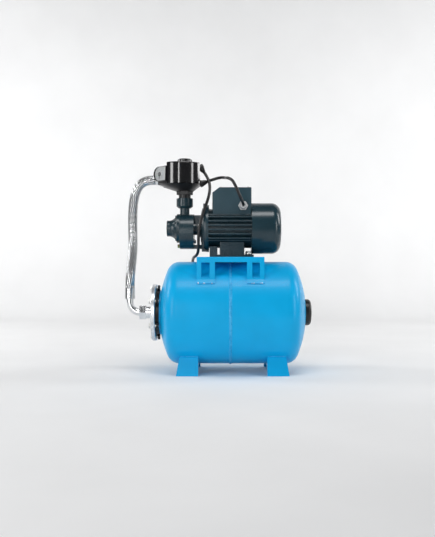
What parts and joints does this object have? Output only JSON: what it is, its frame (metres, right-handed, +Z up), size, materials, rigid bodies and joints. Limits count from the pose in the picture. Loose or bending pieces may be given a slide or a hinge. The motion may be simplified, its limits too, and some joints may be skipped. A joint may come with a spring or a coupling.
{
  "type": "pressure booster pump set",
  "caption": "Horizontal pressure tank on feet carrying a peripheral surface pump with a finned motor, an electronic controller with gauge, and a braided steel hose.",
  "frame": {"origin": "on the floor, midway between the four foot bolt holes, below the middle of the tank", "axes": "+X along the shaft from the suction port to the motor fan, +Z up, -Y towards the side seen in the picture"},
  "size_m": [0.5134, 0.5365, 0.587],
  "materials": {
    "tank_blue": "glossy enamel",
    "pump_paint": "semi-gloss paint on castings",
    "fan_cover_paint": "semi-gloss paint on sheet",
    "box_plastic": "satin moulded",
    "case_gloss": "glossy moulded",
    "case_satin": "satin moulded",
    "box_gland_grey": "light grey moulded",
    "galvanised": "zinc coated",
    "fastener_zinc": "zinc coated",
    "chrome_fitting": "polished",
    "ferrule_steel": "crimped stainless",
    "hose_braid": "braided stainless wire over rubber",
    "brass_part": "machined",
    "steel_inner": "machined",
    "lamination": "stacked sheet",
    "copper_wire": "enamelled winding",
    "seal_ceramic": "lapped",
    "membrane_rubber": "matt",
    "cable_black": "satin sheath",
    "board_green": "printed board",
    "capacitor_white": "moulded can",
    "button_grey": "moulded",
    "dial_grey": "printed plate",
    "gauge_window": "clear"
  },
  "bodies": {
    "pump_set": {"air_valve_stem": "brass_part", "box_gland": "box_gland_grey", "casing_bolts": "pump_paint", "circuit_board": "board_green", "controller_cover": "case_gloss", "controller_glands": "case_satin", "controller_lower_case": "case_satin", "controller_valve_body": "case_satin", "cover_bolts": "pump_paint", "drain_plug": "brass_part", "fan_cover": "fan_cover_paint", "fan_cover_screws": "pump_paint", "flange_bolts": "fastener_zinc", "flange_nipple": "chrome_fitting", "foot_bolts": "fastener_zinc", "gauge_dial": "dial_grey", "gauge_lens": "gauge_window", "hose": "hose_braid", "hose_ferrules": "ferrule_steel", "hose_tail": "chrome_fitting", "jumper_cable": "cable_black", "lantern_bracket": "pump_paint", "left_foot": "tank_blue", "mains_lead": "cable_black", "mains_lead_coil": "cable_black", "mains_plug": "case_satin", "membrane": "membrane_rubber", "motor_bearings": "steel_inner", "motor_foot": "pump_paint", "motor_housing": "pump_paint", "outlet_cap": "case_gloss", "pump_casing": "pump_paint", "pump_platform": "tank_blue", "rear_shield": "pump_paint", "right_foot": "tank_blue", "run_capacitor": "capacitor_white", "seal_seat": "seal_ceramic", "stator_core": "lamination", "stator_windings": "copper_wire", "suction_cover": "pump_paint", "tank_elbow": "chrome_fitting", "tank_flange": "galvanised", "tank_left_shell": "tank_blue", "tank_right_shell": "tank_blue", "tank_weld_bead": "tank_blue", "terminal_block": "case_satin", "terminal_box": "box_plastic", "terminal_box_lid": "box_plastic", "terminal_box_screws": "fastener_zinc", "tie_rods": "pump_paint", "union_nuts": "chrome_fitting"},
    "rotor": {"shaft": "steel_inner", "impeller": "brass_part", "rotor_core": "lamination", "fan": "case_satin", "seal_ring": "seal_ceramic"},
    "gauge_needle": {"gauge_needle": "case_satin"},
    "reset_button": {"reset_button": "button_grey"},
    "check_valve_poppet": {"check_valve_poppet": "case_satin"},
    "air_valve_cover": {"air_valve_cover": "case_satin"}
  },
  "joints": [
    {"name": "shaft_spin", "type": "hinge", "parent": "pump_set", "child": "rotor", "pos_m": [0, 0, 0.395], "axis": [1, 0, 0], "continuous": true},
    {"name": "needle_turn", "type": "hinge", "parent": "pump_set", "child": "gauge_needle", "pos_m": [-0.202, -0.036, 0.5415], "axis": [0.7071, 0.7071, 0], "range_deg": [0, 270], "stiffness_Nm_per_rad": 0.0005},
    {"name": "reset_press", "type": "slide", "parent": "pump_set", "child": "reset_button", "axis": [0, 0, -1], "range_m": [0, 0.002], "stiffness_N_per_m": 400, "springref_m": -0.002},
    {"name": "poppet_lift", "type": "slide", "parent": "pump_set", "child": "check_valve_poppet", "axis": [0, 0, 1], "range_m": [0, 0.006], "stiffness_N_per_m": 100, "springref_m": -0.004},
    {"name": "air_cover_pull", "type": "slide", "parent": "pump_set", "child": "air_valve_cover", "axis": [1, 0, 0], "range_m": [0, 0.03]}
  ]
}
